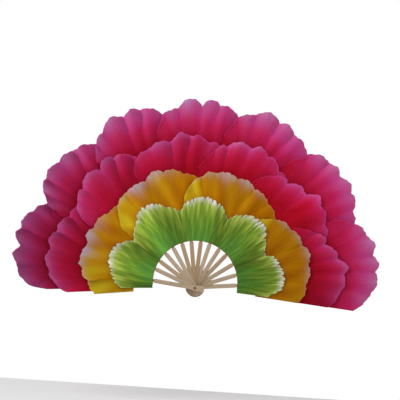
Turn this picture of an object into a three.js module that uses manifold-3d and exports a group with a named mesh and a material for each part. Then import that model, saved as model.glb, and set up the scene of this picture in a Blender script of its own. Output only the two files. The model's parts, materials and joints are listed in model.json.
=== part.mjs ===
// Giant petal hand fan, shown open, in millimetres.
// The rivet's axis is the Y axis, +Z runs up the fan's bisector, +X is to the right and the front is -Y.
// Fan angles are degrees clockwise from +Z, seen from the front.
import * as THREE from 'three';
import { mergeVertices } from 'three/addons/utils/BufferGeometryUtils.js';
import Module from 'manifold-3d';

// Sticks, at their fan angles from the front guard to the back one
const stickAngles = [-83.8, -68.3, -56.5, -44.3, -32.3, -20, -8.1, 3.6, 15.1, 28.5, 40.2, 55, 69.7, 83.8];
const stickThickness = 2;
const guardThickness = 5;
const layerGap = 0.3;
const bladeWidth = 11.5;
const tailReach = 26;
const tailWidth = 17;
const tailCorner = 5;
const neckReach = 22;
const gripStart = 34;
const gripStep = 0.5;
const edgeBevel = 0.7;
const tongueWidth = 8;
const tongueThickness = 1;
const tongueReach = 440;
const bladeUnderCloth = 3;
const outlineSegments = 6;

// Rivet
const rivetRadius = 2;
const rivetBoreClearance = 0.3;
const rivetHeadRadius = 2.6;
const rivetHeadHeight = 1.4;
const rivetHeadRim = 0.3;
const washerRadius = 3.6;
const washerThickness = 0.8;
const roundSegments = 20;

// Leaf cloth
const clothThickness = 0.8;
const clothGap = 0.3;
const leafWindRoom = 0.35;
const leafInnerSide = 115;
const leafInnerTop = 128.5;
const leafReach = 428;
const leafEndAngle = 88.8;
const guardWrap = 3;
const leafSteps = 3;
const leafRings = 3;

// Petals
const shingleLift = 5;
const foldDepth = 1.8;
const rowClearance = 0.8;
const tipLift = 4;
const seamGap = 0.8;
const edgeFade = 0.3;
const openShare = 0.6;
const overlapStart = 0.6;
const baseInset = 1;
const foldRings = 3;
const columnAngle = 2.2;
const lobeRoundness = 0.7;

// Radii at which the rows' petals are sewn on and about where they end
const yellowBase = 168;
const innerPinkBase = 238;
const outerPinkBase = 308;
const greenReach = 257;
const yellowReach = 332;
const innerPinkReach = 426;
const outerPinkReach = 518;

// Each row, from the innermost and frontmost out. A petal's rim runs from left to right over its notches: each has a
// fan angle, a radius and the rise of the lobe after it. A petal ends under the one to its right. The ruff's petals
// also have small teeth.
const rows = [
  {
    name: 'green_petal', base: 0, reach: greenReach, toothDepth: 7, teeth: [15, 15, 14, 15, 13], color: 0x6f9a3a,
    rims: [
      [[-93.7, 197, 6], [-87.8, 224, 1], [-80.7, 238, 1], [-75.6, 249, 3], [-68, 250, 1], [-63.5, 242, 3],
       [-56.3, 214, 0], [-52.5, 203, 0]],
      [[-57, 206, 1], [-52.9, 222, 1], [-46.3, 241, 1], [-41.2, 258, 3], [-34.1, 263, 3], [-29, 256, 1],
       [-24.4, 239, 3], [-14.3, 215, 0], [-10.7, 200, 0]],
      [[-15.3, 208, 1], [-11.7, 230, 1], [-7.2, 243, 1], [-0.6, 250, 3], [5.5, 252, 3], [11.6, 241, 3],
       [17.7, 228, 1], [21.8, 210, 0], [24.9, 198, 0]],
      [[21.4, 206, 1], [24.8, 225, 1], [29.9, 241, 3], [36.4, 255, 3], [45, 256, 3], [51.1, 239, 1],
       [57.2, 223, 1], [61.2, 216, 0], [65.3, 203, 0]],
      [[60.8, 208, 1], [64.2, 232, 1], [69.1, 241, 1], [73.1, 246, 3], [81.1, 247, 3], [88.1, 237, 1],
       [93.9, 199, 0]],
    ],
  },
  {
    name: 'yellow_petal', base: yellowBase, reach: yellowReach, toothDepth: 0, teeth: [0, 0, 0, 0], color: 0xc4911c,
    rims: [
      [[-97.2, 274, 4], [-89.8, 293, 8], [-83.8, 311, 6], [-79.9, 323, 4], [-71.1, 316, 12], [-63, 322, 7],
       [-52.4, 312, 3], [-46.2, 307, 0]],
      [[-55.4, 253, 0], [-47.7, 306, 4], [-40.4, 321, 4], [-28.2, 322, 13], [-19, 328, 8], [-9.9, 315, 3],
       [-1.1, 299, 0]],
      [[-11.2, 249, 1], [-5.2, 290, 3], [-0.2, 304, 8], [6.2, 319, 8], [18.1, 321, 9], [27.5, 316, 6],
       [37.3, 306, 6], [46.4, 287, 0]],
      [[38.4, 256, 0], [46.7, 292, 7], [54.4, 306, 8], [64.6, 316, 12], [74.1, 318, 7], [84.5, 306, 7],
       [94.9, 285, 0]],
    ],
  },
  {
    name: 'inner_pink_petal', base: innerPinkBase, reach: innerPinkReach, toothDepth: 0, teeth: [0, 0, 0, 0, 0, 0],
    color: 0xb81f4c,
    rims: [
      [[-95.6, 349, 6], [-92.4, 377, 6], [-86.1, 403, 12], [-78.3, 407, 13], [-71.3, 407, 9], [-64.1, 395, 6],
       [-58.2, 388, 0]],
      [[-64, 338, 1], [-60.9, 381, 4], [-57.2, 397, 8], [-52.1, 409, 18], [-42.5, 413, 15], [-35.8, 421, 8],
       [-29.2, 400, 1], [-25.9, 381, 0]],
      [[-32.5, 340, 3], [-29.5, 381, 6], [-22.7, 400, 9], [-13, 406, 16], [-5.4, 416, 10], [1.6, 399, 7],
       [6.9, 392, 0]],
      [[-2.4, 329, 3], [4.4, 381, 8], [9.3, 398, 14], [17.9, 411, 15], [25.4, 413, 10], [31.8, 395, 5],
       [38.7, 383, 0]],
      [[24.1, 327, 6], [31.3, 375, 10], [37.7, 383, 12], [46.4, 399, 19], [53.2, 412, 9], [60.3, 397, 7],
       [66.3, 383, 0]],
      [[54.2, 315, 3], [62, 364, 12], [67.8, 377, 10], [75.1, 402, 18], [81.4, 411, 8], [88.5, 398, 4],
       [94.8, 370, 0]],
    ],
  },
  {
    name: 'outer_pink_petal', base: outerPinkBase, reach: outerPinkReach, toothDepth: 0,
    teeth: [0, 0, 0, 0, 0, 0, 0], color: 0xb5286a,
    rims: [
      [[-94.2, 406, 6], [-92.5, 456, 8], [-86.2, 490, 16], [-79.9, 491, 15], [-74.5, 503, 10], [-68.2, 489, 5],
       [-64.5, 470, 1], [-59.7, 437, 0]],
      [[-65.7, 437, 6], [-62, 485, 6], [-57.6, 506, 9], [-51.1, 507, 7], [-45.3, 501, 8], [-38.5, 479, 1],
       [-35, 453, 0]],
      [[-42, 436, 6], [-38.4, 478, 4], [-34.4, 496, 19], [-26.4, 507, 12], [-20.6, 509, 9], [-14.5, 486, 1],
       [-10.8, 458, 0]],
      [[-18.3, 422, 6], [-14.2, 484, 3], [-9, 494, 22], [-1.4, 499, 16], [4.2, 504, 9], [10.3, 485, 1],
       [13.9, 456, 0]],
      [[6.7, 423, 3], [10.4, 483, 3], [15.9, 503, 18], [23.5, 507, 12], [29.3, 500, 7], [35.5, 485, 1],
       [39.1, 454, 0]],
      [[32.1, 415, 6], [37.2, 486, 9], [43.3, 503, 10], [49.1, 502, 12], [55.3, 503, 9], [60.5, 483, 3],
       [64.9, 472, 1], [67.7, 448, 0]],
      [[59.4, 417, 6], [64.6, 475, 6], [69.2, 492, 15], [76, 497, 12], [81.4, 499, 10], [88.3, 485, 4],
       [94.7, 441, 0]],
    ],
  },
];

const bambooColor = 0xbfa37a;
const paleBambooColor = 0xc9b38c;
const rivetColor = 0x4a3524;
const leafColor = 0xa8325e;

// Values worked out from the sizes above
const lastStick = stickAngles.length - 1;
const layerPitch = stickThickness + layerGap;
const stackHalf = (lastStick / 2) * layerPitch - stickThickness / 2 + guardThickness;
const boreRadius = rivetRadius + rivetBoreClearance;
const leafBackOffset = tongueThickness / 2 + clothGap + leafWindRoom;
const leafFrontOffset = leafBackOffset + clothThickness;
const petalSeat = leafFrontOffset + clothGap + clothThickness / 2;

const radians = THREE.MathUtils.degToRad;
const smooth = (t) => THREE.MathUtils.smoothstep(t, 0, 1);

const wasm = await Module();
wasm.setup();

function toSolid(geometry) {
  const plain = geometry.index ? geometry.toNonIndexed() : geometry.clone();
  plain.deleteAttribute('normal');
  plain.deleteAttribute('uv');
  const merged = mergeVertices(plain, 1e-4);
  return new wasm.Manifold(new wasm.Mesh({
    numProp: 3,
    vertProperties: new Float32Array(merged.attributes.position.array),
    triVerts: new Uint32Array(merged.index.array),
  }));
}

function toGeometry(solid) {
  const mesh = solid.getMesh();
  const geometry = new THREE.BufferGeometry();
  geometry.setAttribute('position', new THREE.BufferAttribute(new Float32Array(mesh.vertProperties), 3));
  geometry.setIndex(new THREE.BufferAttribute(new Uint32Array(mesh.triVerts), 1));
  return geometry;
}

function piece(name, geometry, color, roughness, metalness = 0) {
  const mesh = new THREE.Mesh(geometry, new THREE.MeshStandardMaterial({ color, roughness, metalness }));
  mesh.name = name;
  return mesh;
}

// Mid plane of a stick's tongue, from the front of the stack to its back
function layerY(k) {
  return (k - lastStick / 2) * layerPitch;
}

// The leaf's inner edge is a little further from the rivet at the top than at the sides.
function leafInner(angle) {
  return leafInnerSide + (leafInnerTop - leafInnerSide) * Math.max(Math.cos(radians(angle)), 0);
}

// Depth of the cloth's carrier at a fan angle: it winds back by one layer from stick to stick.
function carrierY(angle) {
  if (angle <= stickAngles[0]) return layerY(0);
  for (let k = 0; k < lastStick; k += 1) {
    const right = stickAngles[k + 1];
    if (angle <= right) {
      const left = stickAngles[k];
      return layerY(k) + (layerPitch * (angle - left)) / (right - left);
    }
  }
  return layerY(lastStick);
}

function fanPoint(angle, radius, y) {
  return new THREE.Vector3(radius * Math.sin(radians(angle)), y, radius * Math.cos(radians(angle)));
}

// Blade and tail seen from the front, along +Y of the shape, with the rivet hole
function bladeOutline(bladeEnd) {
  const shape = new THREE.Shape();
  const spread = Math.asin((tailWidth - tailCorner) / 2 / tailReach);
  const down = -Math.PI / 2;
  shape.moveTo(-bladeWidth / 2, bladeEnd);
  shape.lineTo(-bladeWidth / 2, neckReach);
  shape.bezierCurveTo(-bladeWidth / 2, neckReach / 2, -tailWidth / 2, 0, -tailWidth / 2, tailCorner - tailReach);
  shape.lineTo(tailReach * Math.cos(down - spread), tailReach * Math.sin(down - spread));
  shape.absarc(0, 0, tailReach, down - spread, down + spread, false);
  shape.lineTo(tailWidth / 2, tailCorner - tailReach);
  shape.bezierCurveTo(tailWidth / 2, 0, bladeWidth / 2, neckReach / 2, bladeWidth / 2, neckReach);
  shape.lineTo(bladeWidth / 2, bladeEnd);
  const bore = new THREE.Path();
  bore.absarc(0, 0, boreRadius, 0, 2 * Math.PI, true);
  shape.holes.push(bore);
  return shape;
}

function stripOutline(width, start, end) {
  const shape = new THREE.Shape();
  shape.moveTo(-width / 2, start);
  shape.lineTo(width / 2, start);
  shape.lineTo(width / 2, end);
  shape.lineTo(-width / 2, end);
  return shape;
}

// Extrudes an outline from a front plane back, with the shape's +Y turned to +Z.
function slab(shape, frontY, thickness, bevel = 0) {
  const geometry = new THREE.ExtrudeGeometry(shape, {
    depth: thickness - 2 * bevel,
    curveSegments: outlineSegments,
    bevelEnabled: bevel > 0,
    bevelThickness: bevel,
    bevelSize: bevel,
    bevelOffset: -bevel,
    bevelSegments: 1,
  });
  geometry.rotateX(Math.PI / 2);
  geometry.translate(0, frontY + thickness - bevel, 0);
  return geometry;
}

function stickGeometry(k) {
  const bladeEnd = leafInner(stickAngles[k]) - bladeUnderCloth;
  const isGuard = k === 0 || k === lastStick;
  const thickness = isGuard ? guardThickness : stickThickness;
  const outward = k === lastStick ? 1 : -1;
  const innerFace = layerY(k) - (outward * stickThickness) / 2;
  const frontY = outward < 0 ? innerFace - thickness : innerFace;
  const headThickness = isGuard ? thickness - gripStep : thickness;
  const headFront = outward < 0 ? innerFace - headThickness : innerFace;
  const tongueFront = layerY(k) - tongueThickness / 2;
  const tongueStart = bladeEnd - bladeUnderCloth;
  const blade = toSolid(slab(bladeOutline(bladeEnd), headFront, headThickness));
  const tongue = toSolid(slab(stripOutline(tongueWidth, tongueStart, tongueReach), tongueFront, tongueThickness));
  let solid = blade.add(tongue);
  if (isGuard) {
    const grip = slab(stripOutline(bladeWidth, gripStart, bladeEnd), frontY, thickness, edgeBevel);
    solid = solid.add(toSolid(grip));
  }
  return toGeometry(solid);
}

function stickName(k) {
  if (k === 0) return 'front_guard';
  if (k === lastStick) return 'back_guard';
  return `stick_${String(k).padStart(2, '0')}`;
}

function makeStick(k) {
  const isGuard = k === 0 || k === lastStick;
  const mesh = piece(stickName(k), stickGeometry(k), isGuard ? paleBambooColor : bambooColor, 0.55);
  mesh.rotation.y = radians(stickAngles[k]);
  return mesh;
}

// Rivet with a domed head in front and a peened end behind, turned about the Y axis
function makeRivet() {
  const washerSpace = layerGap + washerThickness + layerGap;
  const front = -(stackHalf - gripStep) - washerSpace;
  const back = stackHalf - gripStep + washerSpace;
  const shoulder = rivetHeadRadius - rivetHeadRim;
  const side = rivetHeadHeight / 2;
  const profile = [
    new THREE.Vector2(0, front - rivetHeadHeight),
    new THREE.Vector2(shoulder / 2, front - rivetHeadHeight + rivetHeadRim / 2),
    new THREE.Vector2(shoulder, front - side - rivetHeadRim),
    new THREE.Vector2(rivetHeadRadius, front - side),
    new THREE.Vector2(rivetHeadRadius, front),
    new THREE.Vector2(rivetRadius, front),
    new THREE.Vector2(rivetRadius, back),
    new THREE.Vector2(rivetHeadRadius, back),
    new THREE.Vector2(rivetHeadRadius, back + side),
    new THREE.Vector2(shoulder, back + side + rivetHeadRim),
    new THREE.Vector2(shoulder / 2, back + rivetHeadHeight - rivetHeadRim / 2),
    new THREE.Vector2(0, back + rivetHeadHeight),
  ];
  return piece('rivet', new THREE.LatheGeometry(profile, roundSegments), rivetColor, 0.4, 0.8);
}

function makeWasher(name, side) {
  const inner = stackHalf - gripStep + layerGap;
  const near = side > 0 ? inner : -inner - washerThickness;
  const profile = [
    new THREE.Vector2(boreRadius, near),
    new THREE.Vector2(washerRadius, near),
    new THREE.Vector2(washerRadius, near + washerThickness),
    new THREE.Vector2(boreRadius, near + washerThickness),
    new THREE.Vector2(boreRadius, near),
  ];
  return piece(name, new THREE.LatheGeometry(profile, roundSegments), rivetColor, 0.45, 0.8);
}

// Closed sheet over a grid of middle points: surfacePoint(i, j) gives the middle of the cloth.
function sheetGeometry(columns, rings, surfacePoint) {
  const half = new THREE.Vector3(0, clothThickness / 2, 0);
  const corners = [];
  for (let j = 0; j <= rings; j += 1) {
    for (let i = 0; i <= columns; i += 1) {
      const middle = surfacePoint(i / columns, j / rings);
      corners.push(middle.clone().sub(half), middle.clone().add(half));
    }
  }
  const at = (i, j, side) => 2 * (j * (columns + 1) + i) + side;
  const index = [];
  const quad = (a, b, c, d) => index.push(a, b, c, a, c, d);
  for (let j = 0; j < rings; j += 1) {
    for (let i = 0; i < columns; i += 1) {
      quad(at(i, j, 0), at(i + 1, j, 0), at(i + 1, j + 1, 0), at(i, j + 1, 0));
      quad(at(i, j, 1), at(i, j + 1, 1), at(i + 1, j + 1, 1), at(i + 1, j, 1));
    }
    quad(at(0, j, 0), at(0, j + 1, 0), at(0, j + 1, 1), at(0, j, 1));
    quad(at(columns, j, 1), at(columns, j + 1, 1), at(columns, j + 1, 0), at(columns, j, 0));
  }
  for (let i = 0; i < columns; i += 1) {
    quad(at(i, 0, 1), at(i + 1, 0, 1), at(i + 1, 0, 0), at(i, 0, 0));
    quad(at(i, rings, 0), at(i + 1, rings, 0), at(i + 1, rings, 1), at(i, rings, 1));
  }
  const geometry = new THREE.BufferGeometry();
  const position = new Float32Array(corners.flatMap((p) => [p.x, p.y, p.z]));
  geometry.setAttribute('position', new THREE.BufferAttribute(position, 3));
  geometry.setIndex(index);
  return geometry;
}

// Fan angles in even steps
function evenAngles(left, right, steps) {
  return Array.from({ length: steps + 1 }, (_, i) => THREE.MathUtils.lerp(left, right, i / steps));
}

// One panel of the leaf over a run of fan angles, with half a seam's gap at each side
function leafPanel(name, angles) {
  const middleOffset = leafBackOffset + clothThickness / 2;
  const columns = angles.length - 1;
  const geometry = sheetGeometry(columns, leafRings, (s, t) => {
    const angle = angles[Math.round(s * columns)];
    const inner = leafInner(angle);
    const radius = THREE.MathUtils.lerp(inner, leafReach, t);
    const shift = THREE.MathUtils.radToDeg(((0.5 - s) * clothGap) / radius);
    return fanPoint(angle + shift, radius, carrierY(angle) - middleOffset);
  });
  return piece(name, geometry, leafColor, 0.7);
}

// The end panels wrap past the guards' edges, so that the flaps beyond them clear the other sticks when folded.
function makeLeaf() {
  const wrapAngle = stickAngles[lastStick] + guardWrap;
  const panels = [leafPanel('leaf_flap_left', evenAngles(-leafEndAngle, -wrapAngle, leafSteps))];
  for (let k = 0; k < lastStick; k += 1) {
    const angles = evenAngles(stickAngles[k], stickAngles[k + 1], leafSteps);
    if (k === 0) angles.unshift(-wrapAngle);
    if (k === lastStick - 1) angles.push(wrapAngle);
    panels.push(leafPanel(`leaf_panel_${String(k + 1).padStart(2, '0')}`, angles));
  }
  panels.push(leafPanel('leaf_flap_right', evenAngles(wrapAngle, leafEndAngle, leafSteps)));
  return panels;
}

function rowBase(row, angle) {
  return row.base > 0 ? row.base : leafInner(angle) + baseInset;
}

// How far a row's folds have opened: none at the sewn base, all well before the rim
function opened(row, radius) {
  const base = row.base > 0 ? row.base : leafInnerTop;
  return smooth((radius - base) / (openShare * (row.reach - base)));
}

// Lift of a row's cloth above its seat on the leaf: each row clears the folds of the row that it covers.
function rowLift(rowIndex, radius) {
  const row = rows[rowIndex];
  if (rowIndex === rows.length - 1) {
    return tipLift * smooth((radius - row.base) / (row.reach - row.base));
  }
  const below = rows[rowIndex + 1];
  const base = row.base > 0 ? row.base : leafInnerTop;
  const rise = THREE.MathUtils.clamp((radius - base) / (below.base - base), 0, 1);
  const over = radius > below.base ? opened(below, radius) * (shingleLift + foldDepth) : 0;
  const own = rowClearance + clothThickness + foldDepth * opened(row, radius);
  return rowLift(rowIndex + 1, Math.max(radius, below.base)) + rise * own + over;
}

// A petal's rim, its left edge, the left edge of its neighbour and the part of it under that, in degrees
function petalOf(row, petalIndex) {
  const rim = row.rims[petalIndex];
  const left = rim[0][0];
  const end = rim[rim.length - 1][0];
  const right = petalIndex + 1 < row.rims.length ? row.rims[petalIndex + 1][0][0] : end;
  return { row, rim, left, right, end, overlap: end - right, teeth: row.teeth[petalIndex] };
}

// Lobes counted along a rim up to a fan angle
function lobesTo(rim, angle) {
  let k = 0;
  while (k < rim.length - 2 && angle > rim[k + 1][0]) k += 1;
  return k + (angle - rim[k][0]) / (rim[k + 1][0] - rim[k][0]);
}

// Folds counted from the left edge: one for each lobe, or for each tooth of the ruff
function foldsTo({ rim, left, end, teeth }, angle) {
  return teeth > 0 ? (teeth * (angle - left)) / (end - left) : lobesTo(rim, angle);
}

function rimRadius(petal, angle) {
  const { row, rim } = petal;
  const lobes = lobesTo(rim, angle);
  const k = Math.min(Math.floor(lobes), rim.length - 2);
  const notches = THREE.MathUtils.lerp(rim[k][1], rim[k + 1][1], lobes - k);
  const lobe = rim[k][2] * Math.abs(Math.sin(Math.PI * lobes)) ** lobeRoundness;
  const tooth = Math.sqrt(Math.abs(Math.sin(Math.PI * foldsTo(petal, angle))));
  return notches + lobe - row.toothDepth * (1 - tooth);
}

// Fan angles of a petal's columns, with one on each notch
function columnAngles({ rim, left, end, teeth }) {
  if (teeth > 0) return evenAngles(left, end, 2 * teeth);
  return rim.slice(1).reduce((angles, [angle], k) => {
    const steps = Math.max(2, Math.round((angle - rim[k][0]) / columnAngle));
    return angles.concat(evenAngles(rim[k][0], angle, steps).slice(1));
  }, [left]);
}

// One petal: u runs from its left edge to its right edge, v from the sewn base to the rim.
function makePetal(rowIndex, petalIndex) {
  const row = rows[rowIndex];
  const petal = petalOf(row, petalIndex);
  const { left, right, end, overlap } = petal;
  const angles = columnAngles(petal);
  const columns = angles.length - 1;
  const geometry = sheetGeometry(columns, foldRings, (s, v) => {
    const rimAngle = angles[Math.round(s * columns)];
    const u = (rimAngle - left) / (end - left);
    const base = rowBase(row, THREE.MathUtils.lerp(left, right, u));
    const radius = THREE.MathUtils.lerp(base, rimRadius(petal, rimAngle), v);
    const open = opened(row, radius);
    const free = THREE.MathUtils.clamp((open - overlapStart) / (1 - overlapStart), 0, 1);
    const gap = THREE.MathUtils.radToDeg(seamGap / radius);
    const angle = THREE.MathUtils.lerp(left, right - gap + overlap * free, u);
    const fade = THREE.MathUtils.clamp(Math.min(u, 1 - u) / edgeFade, 0, 1);
    const fold = foldDepth * fade * -Math.cos(2 * Math.PI * foldsTo(petal, rimAngle));
    const lift = rowLift(rowIndex, radius) + open * (shingleLift * (1 - smooth(u)) + fold);
    return fanPoint(angle, radius, carrierY(angle) - petalSeat - lift);
  });
  return piece(`${row.name}_${petalIndex + 1}`, geometry, row.color, 0.7);
}

const fan = new THREE.Group();
for (let k = 0; k <= lastStick; k += 1) fan.add(makeStick(k));
fan.add(makeRivet());
fan.add(makeWasher('washer_front', -1));
fan.add(makeWasher('washer_back', 1));
fan.add(...makeLeaf());
rows.forEach((row, rowIndex) => {
  row.rims.forEach((rim, petalIndex) => fan.add(makePetal(rowIndex, petalIndex)));
});

export default fan;
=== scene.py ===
"""Dresses the frame of a giant petal hand fan: bamboo sticks, a rivet, a backing leaf and four rows of petals.

Everything is in metres in the frame's own space: the rivet's axis is Y, +Z runs up the open fan's bisector and the
front is -Y. Fan angles are degrees clockwise from +Z, seen from the front.
"""
import json
import math

import bmesh
import bpy
import numpy as np
from bpy.props import FloatProperty, FloatVectorProperty, IntProperty, PointerProperty
from mathutils import Matrix, Vector

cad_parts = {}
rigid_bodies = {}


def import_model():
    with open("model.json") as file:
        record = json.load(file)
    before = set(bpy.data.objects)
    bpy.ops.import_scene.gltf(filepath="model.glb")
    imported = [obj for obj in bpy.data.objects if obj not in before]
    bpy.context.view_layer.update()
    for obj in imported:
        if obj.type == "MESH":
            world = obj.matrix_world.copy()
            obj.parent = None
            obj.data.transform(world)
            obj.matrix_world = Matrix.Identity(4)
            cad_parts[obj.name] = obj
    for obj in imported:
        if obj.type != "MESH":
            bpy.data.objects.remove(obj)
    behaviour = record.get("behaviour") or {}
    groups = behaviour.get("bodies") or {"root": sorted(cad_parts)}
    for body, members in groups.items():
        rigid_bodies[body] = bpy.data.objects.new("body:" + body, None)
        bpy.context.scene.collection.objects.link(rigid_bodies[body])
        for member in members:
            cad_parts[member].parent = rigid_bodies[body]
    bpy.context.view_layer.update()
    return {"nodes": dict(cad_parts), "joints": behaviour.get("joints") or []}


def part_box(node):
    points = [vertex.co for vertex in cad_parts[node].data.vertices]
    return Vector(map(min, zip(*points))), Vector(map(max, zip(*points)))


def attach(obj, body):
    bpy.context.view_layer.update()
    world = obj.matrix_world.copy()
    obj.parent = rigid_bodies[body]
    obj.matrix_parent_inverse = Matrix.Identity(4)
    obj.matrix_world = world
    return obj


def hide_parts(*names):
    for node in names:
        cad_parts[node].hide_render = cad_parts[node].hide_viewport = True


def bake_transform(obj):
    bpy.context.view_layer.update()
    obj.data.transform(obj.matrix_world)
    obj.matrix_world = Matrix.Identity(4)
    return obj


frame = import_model()

bl_info = {
    "name": "Giant petal hand fan",
    "version": (1, 0, 0),
    "blender": (4, 5, 0),
    "location": "3D View > Sidebar > Petal fan",
    "description": "Builds the cloth, bamboo and rivet of a folding petal fan round its frame",
    "category": "Object",
}

# Sticks, read from the frame
JOINTS = sorted(frame["joints"], key=lambda joint: joint["name"])
STICKS = [JOINTS[0]["parent"]] + [joint["child"] for joint in JOINTS]
PITCHES = [joint["range_deg"][1] for joint in JOINTS]
STICK_ANGLES = np.array([sum(PITCHES[:k]) - sum(PITCHES) / 2 for k in range(len(STICKS))])


def stick_layers():
    """Mid plane of each stick's tongue: the inner sticks' middles, run on by a step at both ends."""
    inner = [(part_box(name)[0][1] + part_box(name)[1][1]) / 2 for name in STICKS[1:-1]]
    step = (inner[-1] - inner[0]) / (len(inner) - 1)
    return np.array([inner[0] - step] + inner + [inner[-1] + step])


LAYERS = stick_layers()

# Cloth sizes that the frame's solids share
SEAT_GAP = 0.0003
LEAF_FRONT = 0.00195
SHINGLE_LIFT = 0.005
FOLD_DEPTH = 0.0018
ROW_CLEARANCE = 0.0008
SOLID_CLOTH = 0.0008
TIP_LIFT = 0.004
EDGE_FADE = 0.3
OPEN_SHARE = 0.6
OVERLAP_START = 0.6
LEAF_TOP = 0.1285
LEAF_SIDE = 0.115
LEAF_REACH = 0.428
LEAF_WRAP = 3
BASE_INSET = 0.001
PETAL_SEAT = LEAF_FRONT + SEAT_GAP + SOLID_CLOTH / 2

# How finely the cloth is divided, in fan angles and lengths
SHORTEST_STRIP = 3.2
SHORTEST_THREAD = 0.004
NARROWEST_FLAT = 0.011
RIM_SAMPLES = 8000
COLUMN_STEP = 0.42
FEWEST_COLUMNS = 8
COLUMNS_PER_TOOTH = 12
SPARE_SHARE = 0.35
LEAF_STEP = 1.0
FEWEST_LEAF_COLUMNS = 3
RING_STEP = 0.006
RING_CROWDING = 1.25

# Finer shapes of the cloth. Waves are pairs of a size and a pace, ridges of a size and a pitch
RUFF_ROUNDNESS = [0.7]
LOBE_SHAPES = [0.8, 1.1, 1.4]
CREASE_DEPTHS = [0.3, 0.5, 0.7, 1.0]
RIM_WAVES = ((0.0011, 1.9), (0.0007, 3.7))
TOOTH_WAVES = ((0.3, 9.1), (0.2, 23.7))
WARP_SPAN = 8.0
SIDE_WAVE = 0.42
SIDE_WAVE_PITCH = 0.043
RIM_CURL = 0.0022
RIM_CURL_RUN = 0.024
SWELL = 0.0017
SWELL_RISE = 0.012
SWELL_FADE = 0.04
LEAST_SWELL = 0.35
CREASE_GATHER = 0.22
CREASE_GATHER_RUN = 0.09
CREASE_FADE = 0.045
FOLD_FADE = 0.03
FAR_FOLD = 0.3
HIDDEN_FADE = 3
CUP_SPAN = 9
UNEVENNESS = 0.0003
UNEVEN_WAVES = ((9, 22), (17, -31))
TOOTH_SLIT = 0.009
SLIT_FADE = 0.1
SLIT_SHARES = [0.5, 0.8, 1.1, 1.9]
TOOTH_RISE = 0.003
TOOTH_SLANT = 25
SEWN_RUFF = 0.25
BEAD_TURN = 0.6
CRINKLE_DEPTH = 0.0013
CRINKLE_SLANT = 50
CRINKLE_BEND = (0.15, 0.4)
CRINKLE_RIDGES = ((0.5, 9.0), (0.45, 6.3), (0.35, 4.4), (0.25, 3.1), (0.12, 2.2), (0.08, 1.6))
PHASE_SPAN, LEAF_PHASE_SPAN, PETAL_PHASE = 6, 3, 40
LEAF_DYE = 0.6
ROW_SEED, PETAL_SEED, FIRST_SEED, SLIT_SEED, CRINKLE_SEED = 97, 13, 5, 400, 900

# Sticks: edges shorter than this aren't eased, so the heads' and bores' arcs stay crisp. Turns are in degrees
SHORTEST_EASED = 0.002
EASED_TURN = 40
SHARP_TURN, GUARD_SHARP_TURN = 38, 20
GRAIN_SLANT = 0.31
# How honey-coloured each stick's bamboo is
HONEY = (0.2, 0.1, 0.3, 0.2, 0.1, 0.8, 0.7, 1.0, 0.2, 0.3, 0.8, 0.4, 0.2, 0.2)


class Row:
    """One row of petals. base is the radius at which they are sewn on, or 0 for the leaf's inner edge.

    A petal's rim runs from left to right over its notches: each has a fan angle, a radius and the rise of the lobe
    after it, in millimetres here. The ruff's petals also have teeth. tips says how much pale lilac each lobe has,
    dye and partly a painted sheen.
    """

    def __init__(self, node, slot, base, reach, rims, teeth=None, tips=None):
        self.node = node
        self.slot = slot
        self.base = base
        self.first_radius = base or LEAF_TOP
        self.reach = reach
        self.rims = [np.array(rim) * (1, 0.001, 0.001) for rim in rims]
        self.teeth = teeth
        self.tips = tips

    def inner(self, angle):
        if self.base:
            return np.full_like(angle, self.base)
        return leaf_inner(angle) + BASE_INSET


GREEN = Row("green_petal", "green_cloth", 0, 0.257, [
    [(-93.7, 197, 6), (-87.8, 224, 1), (-80.7, 238, 1), (-75.6, 249, 3), (-68, 250, 1), (-63.5, 242, 3),
     (-56.3, 214, 0), (-52.5, 203, 0)],
    [(-57, 206, 1), (-52.9, 222, 1), (-46.3, 241, 1), (-41.2, 258, 3), (-34.1, 263, 3), (-29, 256, 1),
     (-24.4, 239, 3), (-14.3, 215, 0), (-10.7, 200, 0)],
    [(-15.3, 208, 1), (-11.7, 230, 1), (-7.2, 243, 1), (-0.6, 250, 3), (5.5, 252, 3), (11.6, 241, 3),
     (17.7, 228, 1), (21.8, 210, 0), (24.9, 198, 0)],
    [(21.4, 206, 1), (24.8, 225, 1), (29.9, 241, 3), (36.4, 255, 3), (45, 256, 3), (51.1, 239, 1), (57.2, 223, 1),
     (61.2, 216, 0), (65.3, 203, 0)],
    [(60.8, 208, 1), (64.2, 232, 1), (69.1, 241, 1), (73.1, 246, 3), (81.1, 247, 3), (88.1, 237, 1),
     (93.9, 199, 0)],
], teeth=[15, 15, 14, 15, 13])
YELLOW = Row("yellow_petal", "yellow_cloth", 0.168, 0.332, [
    [(-97.2, 274, 4), (-89.8, 293, 8), (-83.8, 311, 6), (-79.9, 323, 4), (-71.1, 316, 12), (-63, 322, 7),
     (-52.4, 312, 3), (-46.2, 307, 0)],
    [(-55.4, 253, 0), (-47.7, 306, 4), (-40.4, 321, 4), (-28.2, 322, 13), (-19, 328, 8), (-9.9, 315, 3),
     (-1.1, 299, 0)],
    [(-11.2, 249, 1), (-5.2, 290, 3), (-0.2, 304, 8), (6.2, 319, 8), (18.1, 321, 9), (27.5, 316, 6),
     (37.3, 306, 6), (46.4, 287, 0)],
    [(38.4, 256, 0), (46.7, 292, 7), (54.4, 306, 8), (64.6, 316, 12), (74.1, 318, 7), (84.5, 306, 7),
     (94.9, 285, 0)],
], tips=[
    (0, 0.15, 0.5, 1, 1, 0.8, 0.2), (0, 0.15, 1, 0.8, 0.8, 0.15), (0, 0.05, 0.4, 1, 0.9, 0.6, 0.1),
    (0, 0.7, 0.7, 0.9, 0.8, 0.15),
])
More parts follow.
